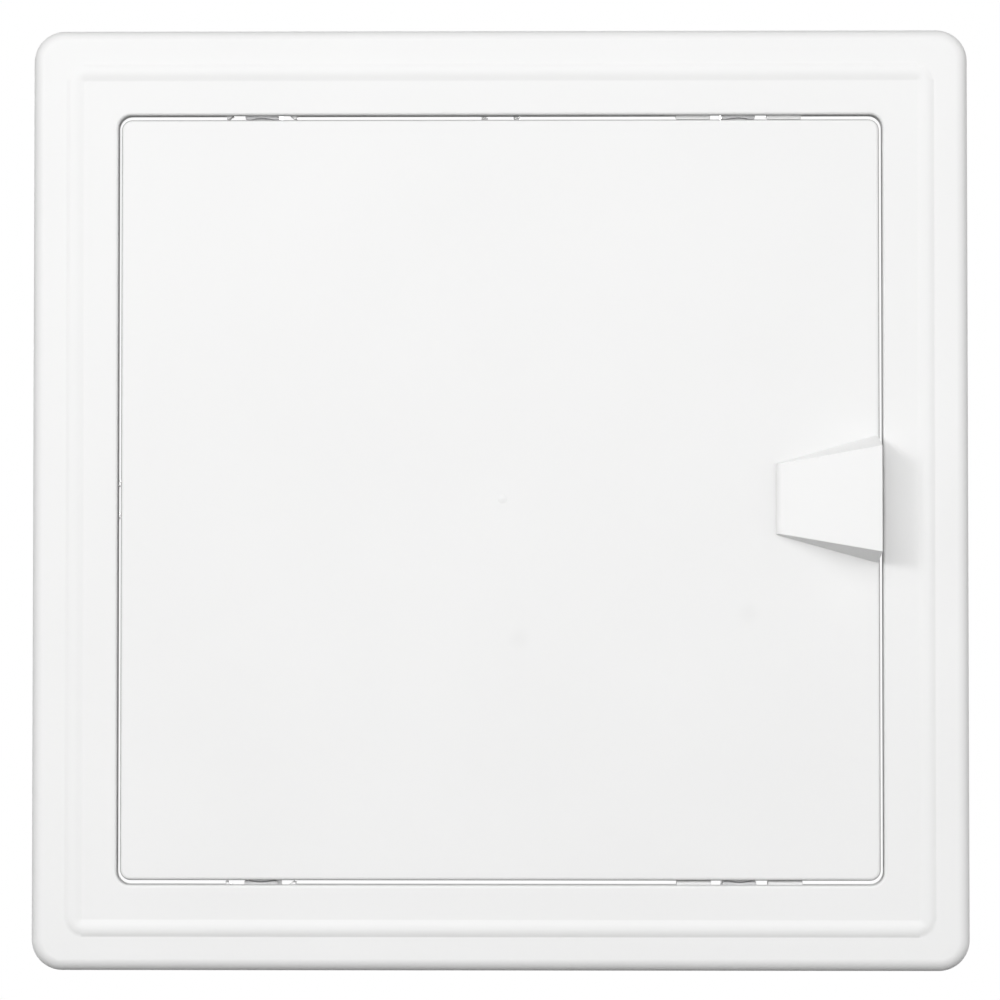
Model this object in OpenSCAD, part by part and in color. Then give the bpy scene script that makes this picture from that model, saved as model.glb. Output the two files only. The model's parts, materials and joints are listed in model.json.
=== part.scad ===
// Access panel: a square face frame with a collar, and a flush door that turns on two domed studs.
// Millimetres. +X is right, +Z is up, the face looks along -Y, and y = 0 is the wall behind the face.

/* [Face frame] */
// Overall width of the face
face_w = 218; // [190:1:420]
// Overall height of the face
face_h = 219; // [190:1:420]
// Distance from the wall to the front of the outer band
face_t = 5; // [4.6:0.1:7]
// Wall thickness of the frame
wall_t = 2; // [1.6:0.1:2.4]
// Width of the face, from its outer edge to the opening
border = 20; // [19:0.1:26]
// Radius of the outer corners
face_corner_r = 7.2; // [5:0.1:12]
// Rounding of the outer edge
face_edge_r = 3; // [1:0.1:3.5]
// Radius of the opening's corners
opening_corner_r = 3; // [2.4:0.1:6]
// Rounding of the opening's edge
lip_edge_r = 0.7; // [0.4:0.1:1.5]
// Depth of the lip round the opening
lip_depth = 4.3; // [3:0.1:5]

/* [Bead] */
// Distance from the face's edge to the bead
bead_in = 7.8; // [6:0.1:8.5]
// Width of the bead
bead_w = 4.4; // [3.8:0.1:5]
// Height of the bead above the outer band
bead_h = 0.6; // [0.4:0.05:1]
// Distance from the bead's inner foot to its crest
bead_crest = 2.4; // [1.8:0.05:2.6]
// Radius of the hollow at the bead's inner foot
bead_hollow_r = 2.2; // [1:0.1:4]
// Height of the inner band above the outer band
band_rise = 0.25; // [0.1:0.05:0.35]

/* [Collar] */
// Distance from the face's edge to the collar
collar_in = 11; // [10:0.1:12]
// Wall thickness of the collar
collar_t = 2; // [1.5:0.1:3]
// Depth of the collar behind the wall
collar_depth = 25; // [22:1:60]
// Radius of the collar's corners
collar_corner_r = 4; // [3.2:0.1:8]
// Diameter of the screw holes
screw_hole_d = 4.2; // [3:0.1:6]
// Distance between the two screw holes of a side
screw_pitch = 120; // [60:1:150]
// Distance of the screw holes behind the wall
screw_depth = 12; // [6:0.5:18]
// Thickness of the ribs and gussets behind the face
rib_t = 1.4; // [1:0.1:2]
// Distance between the ribs behind the face
face_rib_pitch = 36; // [20:1:60]
// Distance from the wall to the ribs behind the face
face_rib_lift = 0.8; // [0.4:0.1:1.5]
// Distance between the two gussets of a side
gusset_pitch = 7.6; // [4:0.2:16]
// Depth of the gussets behind the wall
gusset_depth = 12; // [6:0.5:20]
// Distance that the gussets stay behind the opening's edge
gusset_back = 0.3; // [0.2:0.1:1]

/* [Door] */
// Gap at the door's left and right edges
side_gap = 0.75; // [0.7:0.05:2]
// Gap at the door's top and bottom edges
end_gap = 1.05; // [1:0.05:2]
// Thickness of the door plate
door_t = 2.2; // [1.6:0.1:3]
// Radius of the door's corners
door_corner_r = 2.5; // [1.8:0.1:5]
// Rounding of the door's front edge
door_edge_r = 0.9; // [0.3:0.1:1.4]
// Wall thickness of the door's skirt
skirt_t = 1.6; // [1.2:0.1:1.8]
// Depth of the skirt behind the door's front
skirt_depth = 6; // [5:0.1:9]
// Depth of the ribs behind the door plate
door_rib_depth = 3; // [1.5:0.1:3.5]
// Distance between the ribs behind the door
door_rib_pitch = 58; // [30:1:80]

/* [Pivots and catches] */
// Distance from the opening's side to the middle of a stud
stud_in = 33.4; // [26:0.1:45]
// Diameter of a stud's dome
dome_d = 8; // [7:0.1:8.4]
// Height of a stud's dome
dome_h = 0.8; // [0.7:0.05:0.9]
// Diameter of a stud's shank
shank_d = 4; // [3:0.1:5]
// Running clearance round the shank
shank_clear = 0.05; // [0.02:0.01:0.1]
// Diameter of the head that closes the shank's inner end
tail_d = 5.4; // [5.2:0.1:7]
// Thickness of that head
tail_t = 0.8; // [0.5:0.1:1.5]
// Thickness of the ear that holds a stud
ear_t = 3; // [2:0.1:4]
// Width of the ear beyond the dome
ear_wall = 2.4; // [1:0.1:4]
// Width of a tongue's head
tongue_w = 8.6; // [8:0.1:11]
// Width of a tongue's leaf and root
leaf_w = 4.6; // [4:0.1:6]
// Thickness of a tongue's leaf
tongue_t = 1.3; // [1:0.1:1.7]
// Thickness of a tongue's head
head_t = 2.3; // [2:0.1:3]
// Distance by which the head's sides draw in towards the door
head_draft = 0.5; // [0.2:0.05:0.6]
// Length of the head behind the stud's middle
head_back = 4.6; // [4:0.1:6]
// Distance from the stud's middle to the tongue's front end
head_front = 2.9; // [2.6:0.05:4]
// Distance from the stud's middle to the tongue's root
tongue_len = 16.3; // [13:0.1:18]
// Gap between the door's edge and a tongue, a nub or a seat
edge_clear = 0.3; // [0.3:0.05:0.4]
// Clearance round a dome in its socket
socket_clear = 0.1; // [0.05:0.01:0.15]
// Depth by which the socket's front land holds the dome
snap_depth = 0.15; // [0.1:0.05:0.3]
// Radius of the round root of a tongue
root_r = 1; // [0.9:0.05:1.3]
// Clearance round the root in its seat
root_clear = 0.1; // [0.05:0.01:0.2]
// Play at each end of the root
root_play = 0.2; // [0.1:0.05:0.4]
// Height of the seat's lips above the root's middle
root_grip = 0.5; // [0.2:0.05:0.6]
// Material behind the root's seat
seat_t = 2.4; // [1.5:0.1:3]
// Thickness of the webs that close the seat's ends
web_t = 0.9; // [0.7:0.05:1.2]
// Room at each side of a tongue's head
pocket_clear = 2.3; // [1:0.1:3]
// Width of a nub beside a pivot, on the lip
nub_w = 1.6; // [1:0.05:2.5]
// Width of a nub's tip
nub_tip = 0.5; // [0.3:0.05:0.8]
// Distance from the face's front to the nubs
nub_drop = 1.8; // [1.3:0.1:2.2]
// Width of a stop block beside a catch
stop_w = 8; // [4:0.1:10]
// Distance from the face's front to the stop blocks
stop_drop = 1.9; // [1:0.1:3.6]
// Depth of a stop block
stop_depth = 4; // [3:0.1:8]
// Gap between the door's edge and a stop block
stop_gap = 0.15; // [0.15:0.05:0.6]

/* [Handle] */
// Length of the handle
handle_len = 23.8; // [18:0.1:30]
// Width of the handle's open end, on the door
handle_w = 29.8; // [26:0.1:40]
// Width of the handle's open end, at its crown
crown_w = 24.5; // [20:0.1:25.5]
// Width of the handle's nose
nose_w = 16.6; // [13:0.1:20]
// Height of the handle's open end
handle_h = 12; // [10:0.5:18]
// Height of the nose
nose_h = 1.5; // [0.8:0.1:2]
// Length of the nose's slope
nose_run = 0.3; // [0.1:0.1:1.5]
// Wall thickness of the handle
handle_wall = 1.8; // [1.4:0.1:2.4]
// Distance from the nose to the hollow
hollow_start = 5; // [4.5:0.1:8]
// Distance from the door's edge to the handle's open end
handle_set = 0.4; // [0:0.1:2]
// Width of a hook
hook_w = 4; // [3:0.1:6]
// Thickness of a hook
hook_t = 1.5; // [1:0.1:1.8]
// Distance that a hook reaches under the door plate
hook_catch = 0.8; // [0.5:0.1:1.2]
// Thickness of a hook's barb
barb_t = 1.2; // [0.8:0.1:1.6]
// Clearance round a hook in its slot
hook_clear = 0.2; // [0.1:0.05:0.4]
// Height of a hook's root inside the handle
hook_root = 1.2; // [0.6:0.1:1.4]
// Width by which the handle's walls cover the slots
slot_cover = 0.4; // [0.2:0.1:0.6]
// Distance from the open end to the two side hooks
side_hook_in = 6; // [5:0.1:9]
// Distance from the nose to the nose hook
nose_hook_in = 2.6; // [2.2:0.1:3.4]

/* [Hidden] */
$fn = 96;

white = [0.94, 0.94, 0.93];
door_white = [0.95, 0.95, 0.94];
stud_white = [0.9, 0.9, 0.89];
// Depth by which joined shapes are sunk into each other, and by which cuts run past a face
sink = 0.5;

// The drawing plane has x to the right, y up and z towards the viewer, with z = 0 at the wall.
face_x = face_w / 2;
face_y = face_h / 2;
open_x = face_x - border;
open_y = face_y - border;
door_x = open_x - side_gap;
door_y = open_y - end_gap;
collar_x = face_x - collar_in;
collar_y = face_y - collar_in;
front_z = face_t + band_rise;
under_z = face_t - wall_t;
bead_foot = bead_in + bead_w;
stud_x = open_x - stud_in;

// A station holds one stud and its tongue. Its own y starts at the door's edge and points outwards.
room_y = collar_y - collar_t - door_y;
head_z = under_z - edge_clear;
stud_z = head_z - head_front;
root_z = stud_z - tongue_len;
outer_y = edge_clear + head_t;
leaf_y = outer_y - tongue_t;
root_y = outer_y - tongue_t / 2;
heel_z = stud_z - head_back;
heel_step = leaf_y - edge_clear;
seat_z = root_z - root_r - seat_t;
dome_r = (dome_d * dome_d / 4 + dome_h * dome_h) / (2 * dome_h);
dome_y = dome_h - dome_r;
pocket_w = tongue_w + 2 * pocket_clear;
ear_r = dome_d / 2 + ear_wall;

// Turns the drawing plane upright, so that its y points up and its z points to the front.
module upright() {
    rotate([90, 0, 0]) children();
}

// Draws at the station at x, with side 1 for the top edge of the door and -1 for its bottom edge.
module station(x, side) {
    translate([x, 0, 0]) rotate(side > 0 ? 0 : 180) translate([0, door_y, 0]) children();
}

module every_station() {
    for (x = [-stud_x, stud_x], side = [-1, 1]) {
        station(x, side) children();
    }
}

// A box from one corner to the opposite one
module block(low, high) {
    translate(low) cube(high - low);
}

// A rectangle with round corners
module round_square(half_x, half_y, r) {
    square([2 * half_x, 2 * (half_y - r)], center = true);
    square([2 * (half_x - r), 2 * half_y], center = true);
    for (x = [-1, 1], y = [-1, 1]) {
        translate([x * (half_x - r), y * (half_y - r)]) circle(r);
    }
}

// Sweeps a section round a rectangle with round corners. The section's x starts at the corners' centres.
module sweep_round(half_x, half_y, r) {
    for (turn = [0:3]) {
        across = turn % 2 == 0 ? half_x : half_y;
        along = turn % 2 == 0 ? half_y : half_x;
        rotate(90 * turn) translate([across - r, along - r, 0]) {
            rotate([90, 0, 0]) linear_extrude(2 * (along - r)) children();
            rotate_extrude(angle = 90) children();
        }
    }
}

// What a square corner loses when it is rounded, drawn from the rounding's centre
module corner_waste(r) {
    difference() {
        square(r + sink);
        circle(r);
    }
}

// Section of a cover with a wall at its outer edge, which is rounded at the front
module edge_section(r, base, top, wall, cover, round_r) {
    difference() {
        translate([0, base]) square([r, top - base]);
        translate([-sink, base - sink]) square([r - wall + sink, top - cover - base + sink]);
        translate([r - round_r, top - round_r]) corner_waste(round_r);
    }
}

// A shallow tray, open at the back
module tray(half_x, half_y, r, base, top, wall, cover, round_r) {
    sweep_round(half_x, half_y, r) edge_section(r, base, top, wall, cover, round_r);
    block([r - half_x, r - half_y, top - cover], [half_x - r, half_y - r, top]);
}

// Section of the bead: a round fall to the outer band, and a softer one to the inner band. The softer
// fall is an arc that runs into a small hollow, and both have the same slope where they meet.
module bead_section() {
    crest_z = face_t + bead_h;
    base_z = face_t - sink;
    fall = bead_w - bead_crest;
    outer_r = (fall * fall + bead_h * bead_h) / (2 * bead_h);
    slope = 2 * atan((bead_h - band_rise) / bead_crest);
    inner_r = bead_crest / sin(slope) - bead_hollow_r;
    hollow_run = bead_hollow_r * sin(slope);
    hollow_z = front_z + bead_hollow_r * (1 - cos(slope));
    intersection() {
        translate([bead_crest, base_z]) square([fall, crest_z - base_z]);
        translate([bead_crest, crest_z - outer_r]) circle(outer_r);
    }
    intersection() {
        translate([hollow_run, base_z]) square([bead_crest - hollow_run, crest_z - base_z]);
        translate([bead_crest, crest_z - inner_r]) circle(inner_r);
    }
    difference() {
        translate([0, base_z]) square([hollow_run, hollow_z - base_z]);
        translate([0, front_z + bead_hollow_r]) circle(bead_hollow_r);
    }
}

// Section of the lip round the opening, rounded at the front
module lip_section() {
    difference() {
        translate([opening_corner_r, front_z - lip_depth]) square([wall_t, lip_depth]);
        translate([opening_corner_r + lip_edge_r, front_z - lip_edge_r])
            mirror([1, 0])
                corner_waste(lip_edge_r);
    }
}

// The face with its bead, before the lip is added
module face() {
    lip_in = wall_t - sink;
    difference() {
        union() {
            tray(face_x, face_y, face_corner_r, 0, face_t, wall_t, wall_t, face_edge_r);
            sweep_round(face_x - bead_in, face_y - bead_in, bead_w) bead_section();
            block(
                [bead_foot - face_x, bead_foot - face_y, under_z],
                [face_x - bead_foot, face_y - bead_foot, front_z]
            );
        }
        translate([0, 0, under_z - sink])
            linear_extrude(wall_t + bead_h + 2 * sink)
                round_square(open_x + lip_in, open_y + lip_in, opening_corner_r + lip_in);
    }
}

// The lip, cut away where a tongue needs room
module lip() {
    difference() {
        sweep_round(open_x, open_y, opening_corner_r) lip_section();
        every_station()
            block([-pocket_w / 2, -sink, front_z - lip_depth - sink], [pocket_w / 2, room_y, under_z]);
    }
}

module collar() {
    difference() {
        translate([0, 0, -collar_depth])
            linear_extrude(collar_depth + under_z + sink)
                round_square(collar_x, collar_y, collar_corner_r);
        translate([0, 0, -collar_depth - sink])
            linear_extrude(collar_depth + under_z + 3 * sink)
                round_square(collar_x - collar_t, collar_y - collar_t, collar_corner_r - collar_t);
        for (y = [-1, 1]) {
            translate([-collar_x - sink, y * screw_pitch / 2, -screw_depth])
                rotate([0, 90, 0])
                    cylinder(d = screw_hole_d, h = 2 * (collar_x + sink));
        }
    }
}

// Low ribs between the collar and the face's outer wall
module face_ribs() {
    for (turn = [0:3]) {
        across = turn % 2 == 0 ? face_x : face_y;
        along = turn % 2 == 0 ? collar_y : collar_x;
        last = floor((along - collar_corner_r - rib_t) / face_rib_pitch);
        rotate(90 * turn) for (i = [-last:last]) {
            block(
                [across - collar_in - sink, i * face_rib_pitch - rib_t / 2, face_rib_lift],
                [across - wall_t + sink, i * face_rib_pitch + rib_t / 2, under_z + sink]
            );
        }
    }
}

// Pairs of gussets behind the lip, at the middle of the top and of the left side
module gussets() {
    for (turn = [1, 2]) {
        open = turn == 1 ? open_y : open_x;
        wall = turn == 1 ? collar_y : collar_x;
        rotate(90 * turn) for (y = [-1, 1]) {
            block(
                [open + gusset_back, y * gusset_pitch / 2 - rib_t / 2, -gusset_depth],
                [wall - collar_t + sink, y * gusset_pitch / 2 + rib_t / 2, under_z + sink]
            );
        }
    }
}

// The seat on the collar in which a tongue's root rocks, closed by a web at each end
module tongue_seat() {
    groove_w = leaf_w + 2 * root_play;
    seat_w = groove_w + 2 * web_t;
    difference() {
        block([-seat_w / 2, edge_clear, seat_z], [seat_w / 2, room_y + sink, root_z + root_r]);
        block(
            [-groove_w / 2, edge_clear - sink, root_z + root_grip],
            [groove_w / 2, room_y + 2 * sink, root_z + root_r + sink]
        );
        translate([-groove_w / 2, root_y, root_z])
            rotate([0, 90, 0])
                cylinder(r = root_r + root_clear, h = groove_w);
    }
}

// Nubs on the lip that end the pocket of a pivot, slanted towards the tongue
module pivot_nubs() {
    for (side = [0, 1]) {
        mirror([side, 0, 0])
            translate([pocket_w / 2, 0, front_z - lip_depth])
                linear_extrude(lip_depth - nub_drop)
                    polygon([
                        [0, end_gap + sink], [nub_w, end_gap + sink],
                        [nub_w, edge_clear], [nub_w - nub_tip, edge_clear], [0, end_gap]
                    ]);
    }
}

// Stop blocks that fill the gap at each side of a catch
module stop_blocks() {
    for (side = [-1, 1]) {
        middle = side * (pocket_w + stop_w) / 2;
        block(
            [middle - stop_w / 2, stop_gap, front_z - stop_drop - stop_depth],
            [middle + stop_w / 2, end_gap + wall_t, front_z - stop_drop]
        );
    }
}

module frame() {
    color(white) upright() {
        face();
        lip();
        collar();
        face_ribs();
        gussets();
        every_station() tongue_seat();
        for (side = [-1, 1]) {
            station(-stud_x, side) pivot_nubs();
            station(stud_x, side) stop_blocks();
        }
    }
}

// An ear under the door plate, round behind the stud
module ear() {
    plate_z = front_z - door_t + sink;
    translate([0, 0, stud_z]) rotate([90, 0, 0]) linear_extrude(ear_t) {
        intersection() {
            circle(ear_r);
            translate([-ear_r, -ear_r]) square([2 * ear_r, ear_r + sink]);
        }
        translate([-ear_r, 0]) square([2 * ear_r, plate_z - stud_z]);
    }
}

module door_ribs() {
    back_z = front_z - door_t - door_rib_depth;
    for (side = [-1, 1]) {
        middle = side * door_rib_pitch / 2;
        block(
            [middle - rib_t / 2, skirt_t / 2 - door_y, back_z],
            [middle + rib_t / 2, door_y - skirt_t / 2, front_z - door_t + sink]
        );
        block(
            [skirt_t / 2 - door_x, middle - rib_t / 2, back_z],
            [door_x - skirt_t / 2, middle + rib_t / 2, front_z - door_t + sink]
        );
    }
}

module door_panel() {
    color(door_white) upright() difference() {
        union() {
            tray(
                door_x, door_y, door_corner_r,
                front_z - skirt_depth, front_z, skirt_t, door_t, door_edge_r
            );
            door_ribs();
            every_station() ear();
        }
        every_station()
            translate([0, sink, stud_z])
                rotate([90, 0, 0])
                    cylinder(r = shank_d / 2 + shank_clear, h = ear_t + 2 * sink);
        every_hook() hook_slot();
    }
}

// Places of the handle on the door. The handle's x runs from its nose to its open end.
handle_x = door_x - handle_set;
nose_x = handle_x - handle_len;
slot_half = hook_w / 2 + hook_clear;
side_hook_y = handle_w / 2 - side_draw(side_hook_in + slot_half) - hook_t / 2 - hook_clear - slot_cover;

// How far the handle's sides draw in from the open end's width, at a distance from that end
function side_draw(d) = (handle_w - nose_w) / 2 * d / handle_len;

// Half the width of the handle at a place along it and a height above the door
function handle_half(d, h) = nose_w / 2 + (handle_w - nose_w) / 2 * d / handle_len
    - (handle_w - crown_w) / 2 * h / handle_h;

// Height of the handle's sloping top at a place along it
function handle_top(d) = nose_h + (handle_h - nose_h) * (d - nose_run) / (handle_len - nose_run);

// A wedge between two places along the handle, drawn in from its skin by a wall
module handle_wedge(start, start_h, end, end_h, base, wall, run) {
    low = handle_half(start, base) - wall;
    low_end = handle_half(end, base) - wall;
    high = handle_half(start + run, start_h) - wall;
    high_end = handle_half(end, end_h) - wall;
    polyhedron(
        points = [
            [start, -low, base], [end, -low_end, base], [end, low_end, base], [start, low, base],
            [start + run, -high, start_h], [end, -high_end, end_h],
            [end, high_end, end_h], [start + run, high, start_h]
        ],
        faces = [[0, 1, 2, 3], [4, 7, 6, 5], [0, 4, 5, 1], [1, 5, 6, 2], [2, 6, 7, 3], [3, 7, 4, 0]]
    );
}

// Draws at each hook, with the hook's barb pointing along its x
module every_hook() {
    translate([nose_x + nose_hook_in, 0, front_z]) children();
    for (side = [-1, 1]) {
        translate([handle_x - side_hook_in, side * side_hook_y, front_z])
            rotate(90 * side)
                children();
    }
}

module hook() {
    foot_z = -door_t - barb_t;
    block([-hook_t / 2, -hook_w / 2, foot_z], [hook_t / 2, hook_w / 2, hook_root]);
    block([-hook_t / 2, -hook_w / 2, foot_z], [hook_t / 2 + hook_catch, hook_w / 2, -door_t]);
}

// Slot through the door plate, long enough for the barb to pass
module hook_slot() {
    block(
        [-hook_t / 2 - hook_catch - hook_clear, -slot_half, -door_t - sink],
        [hook_t / 2 + hook_clear, slot_half, sink]
    );
}

module handle() {
    color(door_white) upright() {
        difference() {
            translate([nose_x, 0, front_z])
                handle_wedge(0, nose_h, handle_len, handle_h, 0, 0, nose_run);
            translate([nose_x, 0, front_z])
                handle_wedge(
                    hollow_start, handle_top(hollow_start) - handle_wall,
                    handle_len + sink, handle_top(handle_len + sink) - handle_wall,
                    -sink, handle_wall, 0
                );
        }
        every_hook() hook();
    }
}

// A stud along the station's y: dome on the ear, shank through it, head inside
module stud() {
    intersection() {
        translate([0, dome_y, stud_z]) sphere(dome_r);
        block([-dome_d, 0, stud_z - dome_d], [dome_d, dome_d, stud_z + dome_d]);
    }
    translate([0, sink, stud_z]) rotate([90, 0, 0]) cylinder(d = shank_d, h = ear_t + tail_t + sink);
    translate([0, -ear_t, stud_z]) rotate([90, 0, 0]) cylinder(d = tail_d, h = tail_t);
}

module pivot_stud_top() {
    color(stud_white) upright() station(-stud_x, 1) stud();
}

module pivot_stud_bottom() {
    color(stud_white) upright() station(-stud_x, -1) stud();
}

module catch_stud_top() {
    color(stud_white) upright() station(stud_x, 1) stud();
}

module catch_stud_bottom() {
    color(stud_white) upright() station(stud_x, -1) stud();
}

// A shape drawn over the station's y and z, with a width along its x
module across(w) {
    translate([-w / 2, 0, 0]) rotate([90, 0, 90]) linear_extrude(w) children();
}

// The head of a tongue: sloped at its heel, with sides that draw in towards the door
module tongue_head() {
    intersection() {
        across(tongue_w) polygon([
            [leaf_y, heel_z - heel_step], [outer_y, heel_z - heel_step], [outer_y, head_z],
            [edge_clear, head_z], [edge_clear, heel_z]
        ]);
        translate([0, 0, heel_z - heel_step]) linear_extrude(head_z - heel_z + heel_step) polygon([
            [-tongue_w / 2, outer_y], [head_draft - tongue_w / 2, edge_clear],
            [tongue_w / 2 - head_draft, edge_clear], [tongue_w / 2, outer_y]
        ]);
    }
}

// A tongue: a thick head with a dished socket, a narrow thin leaf and a round root
module tongue() {
    difference() {
        union() {
            tongue_head();
            across(leaf_w) translate([leaf_y, root_z]) square([tongue_t, heel_z - root_z]);
            across(leaf_w) translate([root_y, root_z]) circle(root_r);
        }
        translate([0, dome_y, stud_z]) sphere(dome_r + socket_clear);
        translate([0, dome_y, stud_z]) cylinder(r = dome_r - snap_depth, h = head_front + sink);
    }
}

module pivot_tongue_top() {
    color(white) upright() station(-stud_x, 1) tongue();
}

module pivot_tongue_bottom() {
    color(white) upright() station(-stud_x, -1) tongue();
}

module catch_tongue_top() {
    color(white) upright() station(stud_x, 1) tongue();
}

module catch_tongue_bottom() {
    color(white) upright() station(stud_x, -1) tongue();
}

frame();
door_panel();
handle();
pivot_stud_top();
pivot_stud_bottom();
catch_stud_top();
catch_stud_bottom();
pivot_tongue_top();
pivot_tongue_bottom();
catch_tongue_top();
catch_tongue_bottom();
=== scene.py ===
# %% [markdown]
# # A white access panel
#
# This lesson dresses a moulded plastic access panel: a square frame that sits in a wall or a ceiling, and
# a door that turns on two studs and snaps shut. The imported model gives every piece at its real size, in
# metres, with +X to the right, +Z up and the face looking along -Y. Here the pieces get soft edges, their
# finish, the light and the camera.

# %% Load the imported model
import json
import math

import bmesh
import bpy
from mathutils import Matrix, Vector


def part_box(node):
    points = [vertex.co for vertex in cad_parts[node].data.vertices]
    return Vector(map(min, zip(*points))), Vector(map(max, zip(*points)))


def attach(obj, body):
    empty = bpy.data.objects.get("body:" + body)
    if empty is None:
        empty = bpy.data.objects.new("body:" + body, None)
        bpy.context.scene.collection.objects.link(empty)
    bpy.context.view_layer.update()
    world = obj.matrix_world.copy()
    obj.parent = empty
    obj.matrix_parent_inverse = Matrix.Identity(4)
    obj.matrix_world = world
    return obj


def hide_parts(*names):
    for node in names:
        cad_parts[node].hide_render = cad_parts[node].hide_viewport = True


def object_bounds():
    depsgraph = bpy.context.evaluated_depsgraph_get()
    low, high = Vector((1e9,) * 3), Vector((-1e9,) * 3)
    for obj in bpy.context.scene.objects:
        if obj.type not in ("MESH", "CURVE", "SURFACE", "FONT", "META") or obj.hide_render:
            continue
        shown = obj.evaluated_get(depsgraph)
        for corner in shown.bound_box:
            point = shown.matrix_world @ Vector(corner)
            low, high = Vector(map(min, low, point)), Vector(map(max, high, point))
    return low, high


MM = 0.001

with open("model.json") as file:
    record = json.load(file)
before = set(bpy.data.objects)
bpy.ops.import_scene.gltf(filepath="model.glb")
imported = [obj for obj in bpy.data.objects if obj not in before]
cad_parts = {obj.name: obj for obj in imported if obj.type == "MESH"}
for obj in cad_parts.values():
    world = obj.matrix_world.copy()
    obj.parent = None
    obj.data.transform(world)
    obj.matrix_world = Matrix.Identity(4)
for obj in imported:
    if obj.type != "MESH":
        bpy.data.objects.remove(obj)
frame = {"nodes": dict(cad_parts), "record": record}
cad_low, cad_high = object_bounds()
scene = bpy.context.scene
scene.view_settings.view_transform = "Standard"
print("packed model from", tuple(cad_low), "to", tuple(cad_high))

# %% [markdown]
# ## Camera
#
# The photograph looks almost straight at the panel, from a little below its middle and a hair to the
# right. The panel's two sides differ in length by less than half a percent, so the camera stood nearly a
# metre away and its lens was long. A camera is easiest to aim by its target: it is put on a line from the
# target and turned to look back along that line, and the lens follows from the width that the picture
# takes in at the target. The panel's left and right edges lean together by more than that low place
# explains, so the camera was also tilted up a little and the picture cut out below its middle. Blender
# does the same with a lens shift, which is given in sensor widths.

# %% Camera
image_size = 1000
pixels_per_mm = 4.303
camera_distance = 920 * MM
camera_below = math.radians(0.8)
camera_tilt = math.radians(0.86)
camera_right = math.radians(0.7)
target_side = 0.03 * MM
target_height = -0.22 * MM

face_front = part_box("door_panel")[0].y
field_width = image_size / pixels_per_mm * MM


def towards(azimuth, elevation):
    """Direction from the panel to a place in front of it, right and up of straight ahead, in radians."""
    return Vector((
        math.sin(azimuth) * math.cos(elevation),
        -math.cos(azimuth) * math.cos(elevation),
        math.sin(elevation),
    ))


def aim(thing, place, target):
    """Puts a camera or a lamp at a place and turns it to its target."""
    thing.location = place
    thing.rotation_mode = "QUATERNION"
    thing.rotation_quaternion = (target - place).to_track_quat("-Z", "Y")


camera_data = bpy.data.cameras.new("photo_camera")
camera_data.lens = camera_data.sensor_width * camera_distance / field_width
camera_data.clip_start = 10 * MM
camera_data.clip_end = 100
camera = bpy.data.objects.new("photo_camera", camera_data)
scene.collection.objects.link(camera)
scene.camera = camera
target = Vector((target_side, face_front, target_height))
above_target = target + Vector((0, 0, camera_distance * math.tan(camera_tilt)))
aim(camera, target + camera_distance * towards(camera_right, -camera_below), above_target)
camera_data.shift_y = -math.tan(camera_tilt) * camera_data.lens / camera_data.sensor_width
print(f"lens {camera_data.lens:.0f} mm, field {field_width / MM:.1f} mm")

# %% [markdown]
# ## Light
#
# A white object is drawn by its shades alone. In the photograph the upward edges are nearly as light as
# the face, the sides a little darker and the downward edges much darker, and the finger hood throws a
# pale, fairly crisp shadow to the right. So there is one big soft panel in front and above, a weak one at
# each side and a very weak one below, a small key lamp at the left, and a dim sky. One more panel lights
# the back, which the photograph doesn't show. Each lamp is given as its share of the light that makes a
# white sheet at the panel's place look white. In front, the shares and the sky make a little more than
# one. Angles are in degrees, right and up from straight ahead, and lengths in metres.


# %% Lamps
def soft_lamp(name, azimuth, elevation, distance, size, share):
    """A round lamp that gives the side it shines on a share of a white sheet's full light."""
    direction = towards(math.radians(azimuth), math.radians(elevation))
    data = bpy.data.lights.new(name, "AREA")
    data.shape = "DISK"
    data.size = size
    data.energy = math.pi ** 2 * distance ** 2 * share / abs(direction.y)
    lamp = bpy.data.objects.new(name, data)
    lamp.visible_camera = False
    scene.collection.objects.link(lamp)
    aim(lamp, distance * direction, Vector())
    print(f"{name}: {data.energy:.1f} W for a share of {share}")


soft_lamp("front_panel", azimuth=0, elevation=17, distance=1.7, size=1.8, share=0.655)
soft_lamp("key_lamp", azimuth=-35, elevation=15, distance=1.9, size=0.5, share=0.18)
soft_lamp("left_panel", azimuth=-60, elevation=12, distance=1.6, size=1.8, share=0.075)
soft_lamp("right_panel", azimuth=60, elevation=12, distance=1.6, size=1.8, share=0.135)
soft_lamp("low_panel", azimuth=0, elevation=-25, distance=2.6, size=2.4, share=0.01)
soft_lamp("back_panel", azimuth=180, elevation=8, distance=2.1, size=0.6, share=0.5)

# %% [markdown]
# What the camera sees behind the panel is plain white. The world gives that white to camera rays, and to
# mirror and glass rays so that gloss shows the same surroundings. All other rays get a dim sky, so the
# white background adds no light. A small helper makes the nodes here, and in every material that follows.

# %% World
sky_share = 0.07
white = (1, 1, 1, 1)


def add(tree, kind, operation=None, **values):
    """A node with its operation and socket values set; an underscore stands for a space in a name."""
    made = tree.nodes.new("ShaderNode" + kind)
    if operation:
        made.operation = operation
    for socket, value in values.items():
        made.inputs[socket.replace("_", " ")].default_value = value
    return made


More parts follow.
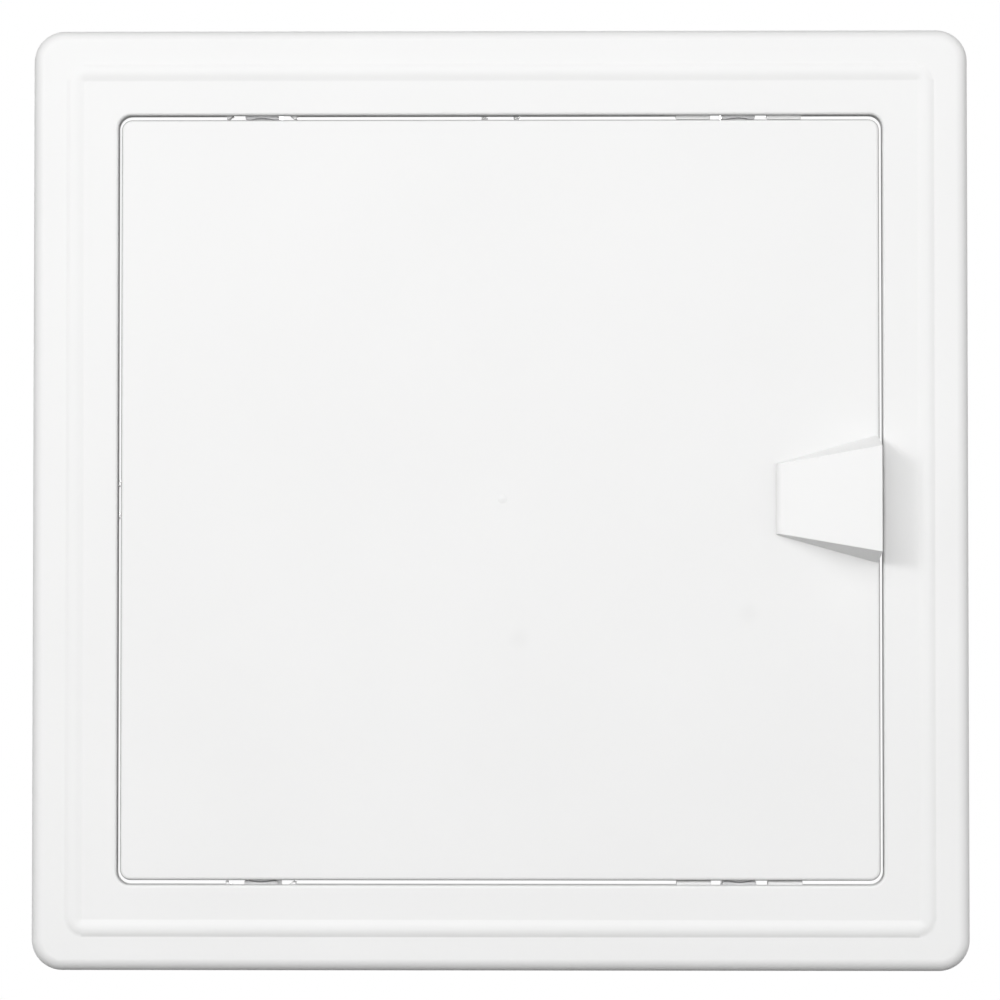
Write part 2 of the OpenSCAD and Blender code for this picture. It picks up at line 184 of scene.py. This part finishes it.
world = bpy.data.worlds.new("studio")
world.use_nodes = True
scene.world = world
tree = world.node_tree
tree.nodes.clear()
path = add(tree, "LightPath")
seen = add(tree, "Math", "MAXIMUM")
mirrored = add(tree, "Math", "MAXIMUM")
dim_sky = add(tree, "Background", Color=white, Strength=sky_share)
white_sky = add(tree, "Background", Color=white)
sky = add(tree, "MixShader")
world_out = add(tree, "OutputWorld")
tree.links.new(path.outputs["Is Glossy Ray"], mirrored.inputs[0])
tree.links.new(path.outputs["Is Transmission Ray"], mirrored.inputs[1])
tree.links.new(path.outputs["Is Camera Ray"], seen.inputs[0])
tree.links.new(mirrored.outputs[0], seen.inputs[1])
tree.links.new(seen.outputs[0], sky.inputs["Fac"])
tree.links.new(dim_sky.outputs[0], sky.inputs[1])
tree.links.new(white_sky.outputs[0], sky.inputs[2])
tree.links.new(sky.outputs[0], world_out.inputs["Surface"])
print("sky share", sky_share)

# %% [markdown]
# The panel hangs clear of the floor, which lies well below the picture. The floor is pale and takes the
# panel's soft shadow; further out it melts into the white background. It throws no light back up, because
# the downward edges in the photograph are dark, and it lets the low panel shine through.

# %% Floor
floor_drop = 0.25
floor_radius = 1.6
floor_fade = (0.3, 1.1)
floor_glow = 0.6
floor_colour = (0.82, 0.82, 0.82, 1)
floor_roughness = 0.9

floor_height = cad_low.z - floor_drop
bm = bmesh.new()
bmesh.ops.create_circle(
    bm, cap_ends=True, segments=96, radius=floor_radius, matrix=Matrix.Translation((0, 0, floor_height))
)
floor_mesh = bpy.data.meshes.new("floor")
bm.to_mesh(floor_mesh)
bm.free()
floor = bpy.data.objects.new("floor", floor_mesh)
floor.visible_diffuse = False
floor.visible_shadow = False
scene.collection.objects.link(floor)

floor_paint = bpy.data.materials.new("floor_paint")
floor_paint.use_nodes = True
tree = floor_paint.node_tree
matt = tree.nodes["Principled BSDF"]
matt.inputs["Base Color"].default_value = floor_colour
matt.inputs["Roughness"].default_value = floor_roughness
place = add(tree, "TexCoord")
flat = add(tree, "VectorMath", "MULTIPLY")
flat.inputs[1].default_value = (1, 1, 0)
far = add(tree, "VectorMath", "LENGTH")
fade = add(tree, "MapRange", From_Min=floor_fade[0], From_Max=floor_fade[1], To_Min=floor_glow)
fade.interpolation_type = "SMOOTHSTEP"
glow = add(tree, "Emission")
blend = add(tree, "MixShader")
tree.links.new(place.outputs["Object"], flat.inputs[0])
tree.links.new(flat.outputs[0], far.inputs[0])
tree.links.new(far.outputs["Value"], fade.inputs["Value"])
tree.links.new(fade.outputs[0], blend.inputs["Fac"])
tree.links.new(matt.outputs[0], blend.inputs[1])
tree.links.new(glow.outputs[0], blend.inputs[2])
tree.links.new(blend.outputs[0], tree.nodes["Material Output"].inputs["Surface"])
floor_mesh.materials.append(floor_paint)
print("floor at", round(floor_height, 3))

# %% [markdown]
# ## Soft edges
#
# No edge of a moulding is truly sharp: the tool is cut with a small radius, and that radius is what
# catches the light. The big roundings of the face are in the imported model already. The small ones can be
# added by a Bevel modifier or by the bevel operator. The operator is used here, on a copy of each node,
# because it can be told which edges to take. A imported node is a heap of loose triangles, so its copy is
# merged first, and its flat faces are made whole, which leaves a clean outline for the bevel to follow.

# %% Merged copies of the nodes
merge_distance = 0.002 * MM
flat_angle = math.radians(0.4)

slots = {row["node"]: row["material_slot"] for row in frame["record"]["subparts"]}


def merged_copy(node):
    """A bmesh of a node with its triangles joined and its flat faces made whole."""
    bm = bmesh.new()
    bm.from_mesh(frame["nodes"][node].data)
    bmesh.ops.remove_doubles(bm, verts=bm.verts, dist=merge_distance)
    bmesh.ops.dissolve_limit(
        bm, angle_limit=flat_angle, use_dissolve_boundaries=False, verts=bm.verts, edges=bm.edges
    )
    return bm


copies = {node: merged_copy(node) for node in slots}
for node, bm in copies.items():
    print(node, "has", len(bm.faces), "whole faces")

# %% [markdown]
# The handle is a wedge, and the edge between its blunt nose and its sloping top has a much larger radius
# than any other. That edge is found by its place and rounded first. Then every edge that is still sharp
# gets the radius of its plastic.

# %% Rounded edges
sharp_angle = math.radians(35)
edge_radius = {
    "frame_plastic": 0.14 * MM,
    "door_plastic": 0.2 * MM,
    "handle_plastic": 0.2 * MM,
    "stud_plastic": 0.12 * MM,
    "tongue_plastic": 0.15 * MM,
}
nose_radius = 1.1 * MM
nose_reach = 0.6 * MM
nose_lift = 1 * MM


def round_edges(bm, edges, radius, segments):
    """Rounds some edges of a bmesh."""
    bmesh.ops.bevel(
        bm, geom=edges, offset=radius, offset_type="OFFSET", segments=segments, profile=0.5,
        affect="EDGES", material=-1, clamp_overlap=False,
    )


nose_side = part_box("handle")[0].x + nose_reach
nose_front = face_front - nose_lift
nose_edges = [
    edge for edge in copies["handle"].edges
    if all(vert.co.x < nose_side and vert.co.y < nose_front for vert in edge.verts)
]
round_edges(copies["handle"], nose_edges, nose_radius, segments=4)
print("the nose has", len(nose_edges), "rounded edges")

for node, bm in copies.items():
    sharp_edges = [edge for edge in bm.edges if edge.calc_face_angle(0) > sharp_angle]
    round_edges(bm, sharp_edges, edge_radius[slots[node]], segments=2)
    print(node, "has", len(sharp_edges), "rounded edges")

# %% [markdown]
# A finished copy is shaded smooth. A Weighted Normal modifier lets the large faces set the shading, so
# that they stay flat and only the edges look round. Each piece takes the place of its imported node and
# moves with that node's body.

# %% Finished pieces
flat_weight = 90

bodies = {
    node: body
    for body, members in frame["record"]["behaviour"]["bodies"].items()
    for node in members
}


def smooth_object(bm, name):
    """Makes a bmesh a smooth-shaded object in the scene."""
    for face in bm.faces:
        face.smooth = True
    mesh = bpy.data.meshes.new(name)
    bm.to_mesh(mesh)
    bm.free()
    made = bpy.data.objects.new(name, mesh)
    scene.collection.objects.link(made)
    return made


def finished_piece(bm, name, node):
    """Makes a bmesh a piece that stands for a node and moves with its body."""
    piece = smooth_object(bm, name)
    piece.modifiers.new("flat faces stay flat", "WEIGHTED_NORMAL").weight = flat_weight
    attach(piece, bodies[node])
    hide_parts(node)
    return piece


pieces = {node: finished_piece(bm, "soft_" + node, node) for node, bm in copies.items()}
print(len(pieces), "pieces stand for", len(slots), "nodes")

# %% [markdown]
# ## White plastic
#
# The whole panel is one satin white plastic, but a moulding is never one flat white. The pigment drifts a
# little, and the polished tool leaves a faint orange peel with a fine grain on it. The walls of the gap
# get a painted shade, darker where shade falls between door and frame. Each of these effects is used more
# than
# once, so each is a node group: it is built once and takes the values that differ as inputs. The texture
# is placed by Object coordinates, which here are the panel's own metres.
#
# The drift of the pigment is a slow noise, about one wave in five centimetres, which scales the colour up
# and down by a percent or so. Nobody sees it as a pattern, but without it a large white face looks drawn.


# %% Pigment drift
def new_group(name, inputs, outputs):
    """An empty shader group with sockets given as (name, type) pairs, and its two end nodes."""
    group = bpy.data.node_groups.new(name, "ShaderNodeTree")
    for socket, kind in inputs:
        group.interface.new_socket(socket, in_out="INPUT", socket_type="NodeSocket" + kind)
    for socket, kind in outputs:
        group.interface.new_socket(socket, in_out="OUTPUT", socket_type="NodeSocket" + kind)
    return group, group.nodes.new("NodeGroupInput"), group.nodes.new("NodeGroupOutput")


tone, given, result = new_group(
    "moulded_tone", [("Vector", "Vector"), ("Color", "Color"), ("Drift", "Float")], [("Color", "Color")]
)
clouds = add(tone, "TexNoise", Scale=20, Detail=2, Roughness=0.5)
centred = add(tone, "Math", "SUBTRACT")
centred.inputs[1].default_value = 0.5
level = add(tone, "Math", "MULTIPLY_ADD")
level.inputs[2].default_value = 1
scaled = add(tone, "VectorMath", "SCALE")
tone.links.new(given.outputs["Vector"], clouds.inputs["Vector"])
tone.links.new(clouds.outputs["Fac"], centred.inputs[0])
tone.links.new(centred.outputs[0], level.inputs[0])
tone.links.new(given.outputs["Drift"], level.inputs[1])
tone.links.new(given.outputs["Color"], scaled.inputs[0])
tone.links.new(level.outputs[0], scaled.inputs["Scale"])
tone.links.new(scaled.outputs[0], result.inputs["Color"])
print("moulded_tone has", len(tone.nodes), "nodes")

# %% [markdown]
# The skin of the moulding is a height for the Bump node: a soft orange peel of a few millimetres, and on
# it a grain of a third of a millimetre, as a lightly blasted tool leaves it.

# %% Orange peel and grain
skin, given, result = new_group(
    "moulded_skin", [("Vector", "Vector"), ("Grain", "Float")], [("Height", "Float")]
)
peel = add(skin, "TexNoise", Scale=260, Detail=1, Roughness=0.4)
grain = add(skin, "TexNoise", Scale=3000, Detail=2, Roughness=0.5)
height = add(skin, "Math", "MULTIPLY_ADD")
skin.links.new(given.outputs["Vector"], peel.inputs["Vector"])
skin.links.new(given.outputs["Vector"], grain.inputs["Vector"])
skin.links.new(grain.outputs["Fac"], height.inputs[0])
skin.links.new(given.outputs["Grain"], height.inputs[1])
skin.links.new(peel.outputs["Fac"], height.inputs[2])
skin.links.new(height.outputs[0], result.inputs["Height"])
print("moulded_skin has", len(skin.nodes), "nodes")

# %% [markdown]
# The walls of the gap between door and frame are dull, and their colour gets a painted shade, darker where
# shade falls between door and frame. Where they lie follows from the outline of the door or of the
# opening,
# a rectangle with round corners: take the place without its sign, subtract the corner's centre, drop what
# is negative, and the length that remains is the distance from that centre. Where it equals the corner's
# radius, the point is on the outline. The Mix node has sockets for every type of data at once, so those
# for vectors are picked by number.

# %% Painted shade in the gap
gap_roughness = 0.95
mix_clean, mix_darker, mixed = 4, 5, 1

# Painted shade: the gap's walls and the door's edge get a darker colour, where shade falls between door
# and frame.
shade_group, given, result = new_group(
    "painted_gap_shade",
    [("Vector", "Vector"), ("Corner", "Vector"), ("Radius", "Float"), ("Reach", "Float"),
     ("Shade", "Float"), ("Color", "Color"), ("Roughness", "Float")],
    [("Color", "Color"), ("Roughness", "Float")],
)
unsigned = add(shade_group, "VectorMath", "ABSOLUTE")
from_corner = add(shade_group, "VectorMath", "SUBTRACT")
outside = add(shade_group, "VectorMath", "MAXIMUM")
distance = add(shade_group, "VectorMath", "LENGTH")
offset = add(shade_group, "Math", "SUBTRACT")
spread = add(shade_group, "Math", "ABSOLUTE")
mask = add(shade_group, "MapRange", To_Min=1, To_Max=0)
mask.interpolation_type = "SMOOTHSTEP"
darker_colour = add(shade_group, "VectorMath", "SCALE")
colour = add(shade_group, "Mix")
colour.data_type = "VECTOR"
dull = add(shade_group, "MapRange", To_Max=gap_roughness)
shade_group.links.new(given.outputs["Vector"], unsigned.inputs[0])
shade_group.links.new(unsigned.outputs[0], from_corner.inputs[0])
shade_group.links.new(given.outputs["Corner"], from_corner.inputs[1])
shade_group.links.new(from_corner.outputs[0], outside.inputs[0])
shade_group.links.new(outside.outputs[0], distance.inputs[0])
shade_group.links.new(distance.outputs["Value"], offset.inputs[0])
shade_group.links.new(given.outputs["Radius"], offset.inputs[1])
shade_group.links.new(offset.outputs[0], spread.inputs[0])
shade_group.links.new(spread.outputs[0], mask.inputs["Value"])
shade_group.links.new(given.outputs["Reach"], mask.inputs["From Max"])
shade_group.links.new(given.outputs["Color"], darker_colour.inputs[0])
shade_group.links.new(given.outputs["Shade"], darker_colour.inputs["Scale"])
shade_group.links.new(mask.outputs[0], colour.inputs["Factor"])
shade_group.links.new(given.outputs["Color"], colour.inputs[mix_clean])
shade_group.links.new(darker_colour.outputs[0], colour.inputs[mix_darker])
shade_group.links.new(mask.outputs[0], dull.inputs["Value"])
shade_group.links.new(given.outputs["Roughness"], dull.inputs["To Min"])
shade_group.links.new(colour.outputs[mixed], result.inputs["Color"])
shade_group.links.new(dull.outputs[0], result.inputs["Roughness"])
print("painted_gap_shade has", len(shade_group.nodes), "nodes")

# %% [markdown]
# Over thick places behind a moulded face the plastic shrinks a little more, and a shallow dent is left on
# the front, a sink mark. Its shade is painted here: a soft disc that takes a few percent off the colour.

# %% Painted shade of sink marks
# Painted shade: a soft darker disc on the colour stands in for the shading of a sink mark's shallow dent.
painted_sink_shade, given, result = new_group(
    "painted_sink_shade",
    [("Vector", "Vector"), ("Centre", "Vector"), ("Radius", "Float"), ("Depth", "Float"),
     ("Color", "Color")],
    [("Color", "Color")],
)
away = add(painted_sink_shade, "VectorMath", "DISTANCE")
soft = add(painted_sink_shade, "MapRange", To_Max=0)
soft.interpolation_type = "SMOOTHSTEP"
left_over = add(painted_sink_shade, "Math", "SUBTRACT")
left_over.inputs[0].default_value = 1
shaded = add(painted_sink_shade, "VectorMath", "SCALE")
painted_sink_shade.links.new(given.outputs["Vector"], away.inputs[0])
painted_sink_shade.links.new(given.outputs["Centre"], away.inputs[1])
painted_sink_shade.links.new(away.outputs["Value"], soft.inputs["Value"])
painted_sink_shade.links.new(given.outputs["Radius"], soft.inputs["From Max"])
painted_sink_shade.links.new(given.outputs["Depth"], soft.inputs["To Min"])
painted_sink_shade.links.new(soft.outputs[0], left_over.inputs[1])
painted_sink_shade.links.new(given.outputs["Color"], shaded.inputs[0])
painted_sink_shade.links.new(left_over.outputs[0], shaded.inputs["Scale"])
painted_sink_shade.links.new(shaded.outputs[0], result.inputs["Color"])
print("painted_sink_shade has", len(painted_sink_shade.nodes), "nodes")

# %% [markdown]
# The painted shade needs two outlines. The door's is the box of its imported node with round corners, and
# the opening's is larger by the gap, which is a little wider at the top and the bottom than at the sides.
# On the door the painted shade is dark and reaches round the edge, on the opening it is pale and narrow.

# %% Outlines of the gap
side_gap = 0.75 * MM
end_gap = 1.05 * MM
door_corner = 2.5 * MM
door_shade = 0.45
door_reach = 0.45 * MM
opening_corner = 3 * MM
opening_shade = 0.9
opening_reach = 0.15 * MM

door_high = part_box("door_panel")[1]
door_outline = (door_high.x, door_high.z, door_corner, door_shade, door_reach)
opening_outline = (
    door_high.x + side_gap, door_high.z + end_gap, opening_corner, opening_shade, opening_reach
)
print(f"gap {side_gap / MM:.2f} mm at the sides, {end_gap / MM:.2f} mm at the top and the bottom")

# %% [markdown]
# Each kind of piece gets its own material from the same recipe. The frame and the door have the painted
# shade along their outlines, and the door has the painted shade of two sink marks. The handle, the studs
# and the tongues are smaller mouldings of their own batches: the studs and the tongues are a shade greyer
# with less grain, and the handle is a shade lighter, partly for its batch and partly as painted light that
# keeps its sloping top as light as the face. How deep in the wall a point lies doesn't count for the
# painted shade, so the corner lies deeper than any point.

# %% Materials
bump_height = 0.004 * MM
pigment_drift = 0.04
sink_radius = 3.6 * MM
sink_shade_depth = 0.028
corner_depth = 1
panel_white = (0.9, 0.9, 0.897)
# The handle's white is partly its own batch and partly painted light, so its sloping top looks as light as
# the face.
hood_white_plus_light = (0.945, 0.945, 0.942)
fitting_white = (0.87, 0.87, 0.878)


def white_plastic(slot, colour, roughness, grain, marks=(), outline=None):
    """A satin white with the painted shade of sink marks and a painted shade on the gap's wall.

    Outline gives the wall's half width, half height and corner radius, and the strength and reach of the
    painted shade."""
    material = bpy.data.materials.new(slot)
    material.use_nodes = True
    tree = material.node_tree
    shader = tree.nodes["Principled BSDF"]
    place = add(tree, "TexCoord")
    tinted = add(tree, "Group")
    tinted.node_tree = tone
    tinted.inputs["Color"].default_value = (*colour, 1)
    tinted.inputs["Drift"].default_value = pigment_drift
    rough = add(tree, "Group")
    rough.node_tree = skin
    rough.inputs["Grain"].default_value = grain
    bump = add(tree, "Bump", Distance=bump_height)
    tree.links.new(place.outputs["Object"], tinted.inputs["Vector"])
    tree.links.new(place.outputs["Object"], rough.inputs["Vector"])
    tree.links.new(rough.outputs["Height"], bump.inputs["Height"])
    tree.links.new(bump.outputs["Normal"], shader.inputs["Normal"])
    shader.inputs["Roughness"].default_value = roughness
    last = tinted
    # The door's sink marks, as painted shade.
    for centre in marks:
        mark = add(tree, "Group")
        mark.node_tree = painted_sink_shade
        mark.inputs["Centre"].default_value = centre
        mark.inputs["Radius"].default_value = sink_radius
        mark.inputs["Depth"].default_value = sink_shade_depth
        tree.links.new(place.outputs["Object"], mark.inputs["Vector"])
        tree.links.new(last.outputs["Color"], mark.inputs["Color"])
        last = mark
    if outline is None:
        tree.links.new(last.outputs["Color"], shader.inputs["Base Color"])
    else:
        half_width, half_height, radius, shade, reach = outline
        # Painted shade along the outline of the gap.
        shade_node = add(tree, "Group")
        shade_node.node_tree = shade_group
        shade_node.inputs["Corner"].default_value = (half_width - radius, corner_depth, half_height - radius)
        shade_node.inputs["Radius"].default_value = radius
        shade_node.inputs["Reach"].default_value = reach
        shade_node.inputs["Shade"].default_value = shade
        shade_node.inputs["Roughness"].default_value = roughness
        tree.links.new(place.outputs["Object"], shade_node.inputs["Vector"])
        tree.links.new(last.outputs["Color"], shade_node.inputs["Color"])
        tree.links.new(shade_node.outputs["Color"], shader.inputs["Base Color"])
        tree.links.new(shade_node.outputs["Roughness"], shader.inputs["Roughness"])
    return material


door_marks = [
    Vector((4.5 * MM, face_front, -32.3 * MM)),
    Vector((57.7 * MM, face_front, -26.4 * MM)),
]
looks = {
    "frame_plastic": dict(colour=panel_white, roughness=0.48, grain=0.5, outline=opening_outline),
    "door_plastic": dict(
        colour=panel_white, roughness=0.48, grain=0.6, marks=door_marks, outline=door_outline
    ),
    "handle_plastic": dict(colour=hood_white_plus_light, roughness=0.46, grain=0.5),
    "stud_plastic": dict(colour=fitting_white, roughness=0.4, grain=0.2),
    "tongue_plastic": dict(colour=fitting_white, roughness=0.42, grain=0.2),
}
plastics = {slot: white_plastic(slot, **look) for slot, look in looks.items()}
for node, piece in pieces.items():
    piece.data.materials.append(plastics[slots[node]])
print(len(plastics), "plastics on", len(pieces), "pieces")

# %% [markdown]
# White walls throw light on what stands next to them, and the finger hood's upper wall and nose would make
# the door beside them glow. The photograph shows hardly any glow there: a camera flattens the brightest
# tones, and the Standard view doesn't. The Light Path node tells when a ray has bounced from something
# dull, and for those rays alone the walls that face up and to the left are made darker. The camera sees
# them as light as before.

# %% Less bounce from the handle
bounce_cut = 1
bounce_side = (-0.8, 0, 0.6)

tree = plastics["handle_plastic"].node_tree
shader = tree.nodes["Principled BSDF"]
full_colour = shader.inputs["Base Color"].links[0].from_socket
path = add(tree, "LightPath")
surface = add(tree, "NewGeometry")
facing = add(tree, "VectorMath", "DOT_PRODUCT")
facing.inputs[1].default_value = bounce_side
bounced = add(tree, "Math", "MULTIPLY")
bounced.use_clamp = True
kept = add(tree, "Math", "MULTIPLY_ADD")
kept.inputs[1].default_value = -bounce_cut
kept.inputs[2].default_value = 1
weaker = add(tree, "VectorMath", "SCALE")
tree.links.new(surface.outputs["Normal"], facing.inputs[0])
tree.links.new(facing.outputs["Value"], bounced.inputs[0])
tree.links.new(path.outputs["Is Diffuse Ray"], bounced.inputs[1])
tree.links.new(bounced.outputs[0], kept.inputs[0])
tree.links.new(full_colour, weaker.inputs[0])
tree.links.new(kept.outputs[0], weaker.inputs["Scale"])
tree.links.new(weaker.outputs[0], shader.inputs["Base Color"])
print("bounce from the handle's upper and left walls cut by", bounce_cut)

# %% [markdown]
# ## Marks of the moulding tool
#
# The melt entered the door through one point in its middle, and a low pimple shows where the gate was
# cut. It is a surface of revolution: a profile of points from the middle to the rim and back, turned
# right round by the spin operator, which joins the last step to the first when use_merge is set.

# %% Gate mark
gate_place = Vector((0.6 * MM, face_front, 0.1 * MM))
gate_radius = 1.05 * MM
gate_height = 0.12 * MM
mark_sunk = 0.03 * MM
gate_rings = 8


def add_disc(bm, centre, profile, steps):
    """Spins a profile of (radius, height) points, from the axis to the rim and back, into a closed mark.

    Heights point towards the viewer, along -Y."""
    verts = [bm.verts.new(centre + Vector((radius, -height, 0))) for radius, height in profile]
    edges = [bm.edges.new(pair) for pair in zip(verts, verts[1:])]
    bmesh.ops.spin(
        bm, geom=verts + edges, cent=centre, axis=(0, 1, 0), angle=math.tau, steps=steps, use_merge=True
    )


def mark_piece(bm, name, body, slot):
    """Merges the discs' middles and makes a bmesh of marks a piece that moves with a body."""
    bmesh.ops.remove_doubles(bm, verts=bm.verts, dist=merge_distance)
    bmesh.ops.recalc_face_normals(bm, faces=bm.faces)
    piece = smooth_object(bm, name)
    piece.data.materials.append(plastics[slot])
    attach(piece, body)
    print(name, "has", len(piece.data.polygons), "faces")


profile = []
for ring in range(gate_rings + 1):
    share = ring / gate_rings
    swell = (1 + math.cos(math.pi * share)) / 2
    profile.append((gate_radius * share, gate_height * swell))
profile += [(gate_radius, -mark_sunk), (0, -mark_sunk)]
bm = bmesh.new()
add_disc(bm, gate_place, profile, steps=32)
mark_piece(bm, "gate_mark", "door", "door_plastic")

# %% [markdown]
# Round pins push a moulding out of its tool, and each leaves a flat disc on the back. They are spun in the
# same way, with a profile that has a small chamfer. The door has them between its ribs, the frame behind
# its face, between the collar and the rim.

# %% Ejector pin marks
pin_height = 0.15 * MM
door_pin_radius = 3 * MM
frame_pin_radius = 2 * MM
door_pin_places = (-58 * MM, 0, 58 * MM)
frame_pin_places = (-54 * MM, -18 * MM, 18 * MM, 54 * MM)
door_thickness = 2.2 * MM
face_back = -3 * MM
rim_inset = 6.5 * MM


def pin_profile(radius):
    """Profile of a pin's disc. The height is negative because the disc looks to the back."""
    chamfer = pin_height / 2
    return [
        (0, -pin_height), (radius - chamfer, -pin_height), (radius, chamfer - pin_height),
        (radius, mark_sunk), (0, mark_sunk),
    ]


door_back = face_front + door_thickness
bm = bmesh.new()
for x in door_pin_places:
    for z in door_pin_places:
        add_disc(bm, Vector((x, door_back, z)), pin_profile(door_pin_radius), steps=32)
mark_piece(bm, "door_pin_marks", "door", "door_plastic")

rim_x = cad_high.x - rim_inset
rim_z = cad_high.z - rim_inset
bm = bmesh.new()
for along in frame_pin_places:
    for side in (-1, 1):
        add_disc(bm, Vector((side * rim_x, face_back, along)), pin_profile(frame_pin_radius), steps=24)
        add_disc(bm, Vector((along, face_back, side * rim_z)), pin_profile(frame_pin_radius), steps=24)
mark_piece(bm, "frame_pin_marks", "frame", "frame_plastic")
